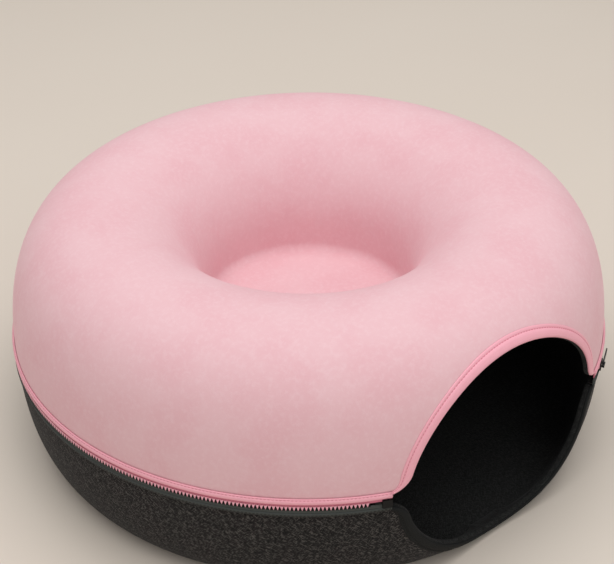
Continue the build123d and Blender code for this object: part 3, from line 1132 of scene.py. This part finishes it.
@dataclass
class RimBand:
    """Band carried round the outside of a rim between the two ends of the zip."""

    body: Body
    name: str
    finish: str
    places: int = 280

    def turns(self, start: float = 0.0, end: float = 0.0) -> np.ndarray:
        """Angles from one end of the zip to the other, going round the back."""
        first = SIZES.zip_end + start / SIZES.tape_middle
        last = 2 * math.pi - SIZES.zip_end - end / SIZES.tape_middle
        return np.linspace(first, last, self.places)

    def build(self, section: np.ndarray, node: str | None = None) -> bpy.types.Object:
        """Carries a closed section round the rim.

        Args:
            section: array of shape (n, 2), each point a radius and a height.
            node: the frame's node that it stands for, if any.

        Returns:
            The new piece.
        """
        loop = ring_point(self.turns()[None, :], section[:, :1], section[:, 1:])
        piece = carry(self.name, loop, self.body)
        FINISHES.dress(piece, self.finish)
        if node:
            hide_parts(node)
        return piece


@dataclass
class ZipHalf:
    """One side of the zip: sewn strip with its stitching, woven tape, corded edge and moulded teeth."""

    half: Half
    body: Body
    tint: str
    strip_finish: str
    strip_height: float = 5.4 * MM
    strip_bulge: float = 1.35 * MM
    line_drop: float = 0.75 * MM
    tape_start: float = 2.0 * MM
    tape_end: float = 10.0 * MM
    cord_radius: float = 0.75 * MM
    tooth_root: float = 2.9 * MM
    tooth_tip: float = 1.5 * MM
    tooth_thick: float = 3.0 * MM
    root_half_width: float = 1.58 * MM
    tip_half_width: float = 0.26 * MM
    full_width_from: float = 2.5 * MM
    closed_end: float = 24.7 * MM
    open_end: float = 15.0 * MM

    def height(self, away: np.ndarray | float) -> np.ndarray | float:
        """Height at a distance away from the zip's centre line, on this half's side."""
        return SIZES.zip_height + self.half.value * away

    def strip_section(self) -> np.ndarray:
        """Soft band with a full lower roll, a pressed line and a thin upper roll."""
        near = SIZES.rim_offset - SIZES.strip_overlap
        far = near + self.strip_height
        line = far - self.line_drop
        inner, bulge = SIZES.strip_inner, self.strip_bulge
        away_out = [
            (near, 0.0), (near + 0.1 * MM, 0.5 * bulge), (near + 0.6 * MM, 0.85 * bulge),
            (near + 1.5 * MM, bulge), (line - 1.8 * MM, 1.05 * bulge), (line - 0.9 * MM, 0.85 * bulge),
            (line - 0.3 * MM, 0.45 * bulge), (line, 0.2 * bulge), (line + 0.2 * MM, 0.35 * bulge),
            (line + 0.5 * MM, 0.45 * bulge), (far + 0.1 * MM, 0.3 * bulge), (far + 0.4 * MM, -0.1 * MM),
            (far + 0.3 * MM, -0.9 * MM), (near, -0.1 * MM),
        ]
        away, out = np.array(away_out).T
        return np.stack([inner + out, self.height(away)], axis=1)

    def tape_section(self) -> np.ndarray:
        """Flat tape with softly rounded edges."""
        s = SIZES
        soft = 0.25 * MM
        away = np.array([self.tape_start, self.tape_start + soft, self.tape_end - soft, self.tape_end,
                         self.tape_end, self.tape_end - soft, self.tape_start + soft, self.tape_start])
        radius = np.array([s.tape_outer - soft, s.tape_outer, s.tape_outer, s.tape_outer - soft,
                           s.tape_inner + soft, s.tape_inner, s.tape_inner, s.tape_inner + soft])
        return np.stack([radius, self.height(away)], axis=1)

    def cord_section(self) -> np.ndarray:
        """Round cord woven into the tape's edge: centre + r (cos a, sin a)."""
        a = np.linspace(0, 2 * math.pi, 10, endpoint=False)
        away = self.tape_start + 0.5 * MM + self.cord_radius * np.sin(a)
        return np.stack([SIZES.tape_middle + self.cord_radius * np.cos(a), self.height(away)], axis=1)

    def tooth(self) -> tuple[np.ndarray, list]:
        """One tooth, in (along the zip, up, out), of rounded section at five levels.

        At level k the section is the rounded box (w cos a |cos a|^(-1/2), d sin a |sin a|^(-1/2)), with the
        half-width w narrowing from the root, which clamps the tape, to the tip.
        """
        levels = np.array([self.tooth_root, self.tooth_root - 0.4 * MM, 0.3 * MM,
                           -0.8 * self.tooth_tip, -self.tooth_tip])
        taper = (levels + self.tooth_tip) / (self.full_width_from + self.tooth_tip)
        widths = self.tip_half_width + (self.root_half_width - self.tip_half_width) * np.minimum(taper, 1.0)
        widths = widths * np.array([0.8, 1.0, 1.0, 1.0, 0.55])
        depths = np.array([0.8, 1.0, 1.0, 0.9, 0.55]) * self.tooth_thick / 2
        around, count = 8, levels.size
        a = np.linspace(0, 2 * math.pi, around, endpoint=False) + math.pi / around
        rounded = np.stack([np.cos(a), np.sin(a)])
        square = np.sign(rounded) * np.abs(rounded) ** 0.5
        x = widths[:, None] * square[0]
        z = depths[:, None] * square[1]
        y = np.broadcast_to(self.half.value * levels[:, None], x.shape)
        points = np.stack([x, y, z], axis=-1).reshape(-1, 3)
        flip = self.half is Half.TRAY
        sides = grid_faces(count, around, False, True, flip).tolist()
        first, last = list(range(around)), list(range(count * around - 1, (count - 1) * around - 1, -1))
        caps = [first, last] if flip else [first[::-1], last[::-1]]
        return points, sides + caps

    def make_teeth(self) -> bpy.types.Object:
        """Row of teeth; the other row's stand in its gaps."""
        name = f"{self.body.value}_zip_teeth"
        length = (2 * math.pi - 2 * SIZES.zip_end) * SIZES.tape_middle
        first = self.closed_end + SIZES.tooth_pitch / 2
        last = self.open_end + SIZES.tooth_pitch / 2
        count = int((length - first - last) / SIZES.tooth_pitch + 0.5)
        shift = 0.0 if self.half is Half.COVER else SIZES.tooth_pitch / 2
        turn = SIZES.zip_end + (first + shift + np.arange(count) * SIZES.tooth_pitch) / SIZES.tape_middle
        places = ring_point(turn, np.full(count, SIZES.tape_middle), np.full(count, SIZES.zip_height))
        outward = ring_point(turn, np.ones(count), np.zeros(count))
        up = np.tile([0.0, 0.0, 1.0], (count, 1))
        frames = np.stack([np.cross(up, outward), up, outward], axis=1)
        points, faces = self.tooth()
        piece = repeat(f"{self.body.value}_teeth", points, faces, places, frames, self.body)
        FINISHES.dress(piece, "pink_plastic" if self.half is Half.COVER else "black_plastic")
        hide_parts(name)
        return piece

    def build(self) -> None:
        """Makes every piece of this side of the zip."""
        who = self.body.value
        strip = RimBand(self.body, f"{who}_rim_strip", self.strip_finish)
        strip.build(self.strip_section(), f"{who}_rim_binding")
        weave = f"{self.tint}_tape"
        RimBand(self.body, f"{who}_tape", weave).build(self.tape_section(), f"{who}_zip_tape")
        RimBand(self.body, f"{who}_tape_cord", weave).build(self.cord_section())
        turn = strip.turns()
        line_away = SIZES.rim_offset - SIZES.strip_overlap + self.strip_height - self.line_drop
        seam = ring_point(turn, SIZES.strip_inner + 0.3 * self.strip_bulge, self.height(line_away))
        outward = ring_point(turn, np.ones(turn.size), np.zeros(turn.size))
        thread, slot = f"{self.tint}_thread", f"{self.tint}_binding"
        stitches(f"{who}_rim_stitches", seam, outward, thread, self.body)
        self.make_teeth()


# Fittings ------------------------------------------------------------------


@dataclass(frozen=True)
class Fittings:
    """Small hard fittings that keep their frame meshes."""

    finishes: tuple = (
        ("slider_body", "black_enamel"), ("slider_bridge", "black_enamel"), ("pull_tab", "black_enamel"),
        ("retaining_box", "black_plastic"), ("insertion_pin", "black_plastic"),
        ("tray_end_stop", "black_plastic"), ("cover_end_stop", "pink_plastic"),
    )

    def build(self) -> None:
        """Dresses each fitting."""
        for node, finish in self.finishes:
            FINISHES.dress(frame["nodes"][node], finish)


# Stage ---------------------------------------------------------------------


@dataclass(frozen=True)
class Studio:
    """Plain pale floor, soft light and the camera."""

    floor_half: float = 9.0
    floor_mottle: float = 1.2
    sky_strength: float = 0.46
    lens: float = 81.35
    sensor: float = 36.0
    camera_reach: float = 1.1865
    camera_height: float = 0.9324
    camera_side: float = math.radians(39.69)
    heading: float = math.radians(39.63)
    tilt: float = -0.585
    roll: float = -0.010

    def build(self) -> None:
        """Makes the floor, the lights and the camera."""
        self.make_floor()
        self.make_lights()
        self.make_camera()

    def make_floor(self) -> None:
        """Square floor with a barely uneven pale finish."""
        h = self.floor_half
        mesh = bpy.data.meshes.new("floor")
        mesh.from_pydata([(-h, -h, 0), (h, -h, 0), (h, h, 0), (-h, h, 0)], [], [(0, 1, 2, 3)])
        floor = bpy.data.objects.new("floor", mesh)
        bpy.context.scene.collection.objects.link(floor)
        g = Graph("pale_floor")
        g.set(roughness=0.7)
        uneven = g.noise(g.place.outputs["Object"], self.floor_mottle, 3.0)
        g.paint(g.mix(uneven, colour(218, 206, 193), colour(226, 216, 204)))
        mesh.materials.append(g.material)

    def make_lights(self) -> None:
        """Even pale sky, with one large soft light overhead and a weak one in front."""
        world = bpy.data.worlds.new("soft_sky")
        world.use_nodes = True
        sky = world.node_tree.nodes["Background"]
        sky.inputs["Color"].default_value = (1.0, 0.985, 0.97, 1.0)
        sky.inputs["Strength"].default_value = self.sky_strength
        bpy.context.scene.world = world
        bpy.context.scene.view_settings.view_transform = "Standard"
        for name, place, size, power in (
            ("overhead", (-0.1, -0.1, 2.5), 2.4, 42.0),
            ("front", (-0.9, -2.2, 1.8), 1.8, 9.0),
        ):
            data = bpy.data.lights.new(name, "AREA")
            data.size = size
            data.energy = power
            light = bpy.data.objects.new(name, data)
            light.location = place
            aim = Vector((0.0, 0.0, 0.12)) - Vector(place)
            light.rotation_euler = aim.to_track_quat("-Z", "Y").to_euler()
            bpy.context.scene.collection.objects.link(light)

    def make_camera(self) -> None:
        """Camera at its distance, side and height, turned by its heading, tilt and roll."""
        forward = Vector((math.sin(self.heading) * math.cos(self.tilt),
                          math.cos(self.heading) * math.cos(self.tilt), math.sin(self.tilt)))
        level = Vector((math.cos(self.heading), -math.sin(self.heading), 0.0))
        rise = level.cross(forward)
        right = math.cos(self.roll) * level + math.sin(self.roll) * rise
        up = right.cross(forward)
        data = bpy.data.cameras.new("camera")
        data.lens = self.lens
        data.sensor_width = self.sensor
        data.sensor_fit = "HORIZONTAL"
        camera = bpy.data.objects.new("camera", data)
        place = Vector((-self.camera_reach * math.sin(self.camera_side),
                        -self.camera_reach * math.cos(self.camera_side), self.camera_height))
        turned = Matrix((right, up, -forward)).transposed().to_4x4()
        camera.matrix_world = Matrix.Translation(place) @ turned
        bpy.context.scene.collection.objects.link(camera)
        bpy.context.scene.camera = camera


# Assembly ------------------------------------------------------------------


def write_sizes() -> None:
    """Brings the view layer up to date; it writes nothing."""
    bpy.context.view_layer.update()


def main() -> None:
    """Builds the bed and its stage in order."""
    logging.basicConfig(level=logging.INFO, format="%(name)s: %(message)s")
    Moulding(Half.TRAY, Body.TRAY, "charcoal_felt", 0.78).build()
    Moulding(Half.COVER, Body.COVER, "pink_felt", 0.80).build()
    EntranceBinding(Half.TRAY, Body.TRAY, "tray_sill_binding", "charcoal_binding", "charcoal_thread").build()
    EntranceBinding(Half.COVER, Body.COVER, "cover_arch_binding", "pink_binding", "pink_thread").build()
    ZipHalf(Half.TRAY, Body.TRAY, "charcoal", strip_finish="charcoal_tape", strip_height=3.2 * MM,
            strip_bulge=0.9 * MM, tape_start=1.3 * MM, tooth_root=1.7 * MM).build()
    ZipHalf(Half.COVER, Body.COVER, "pink", strip_finish="pink_binding").build()
    Fittings().build()
    Studio().build()
    write_sizes()


if __name__ == "__main__":
    main()
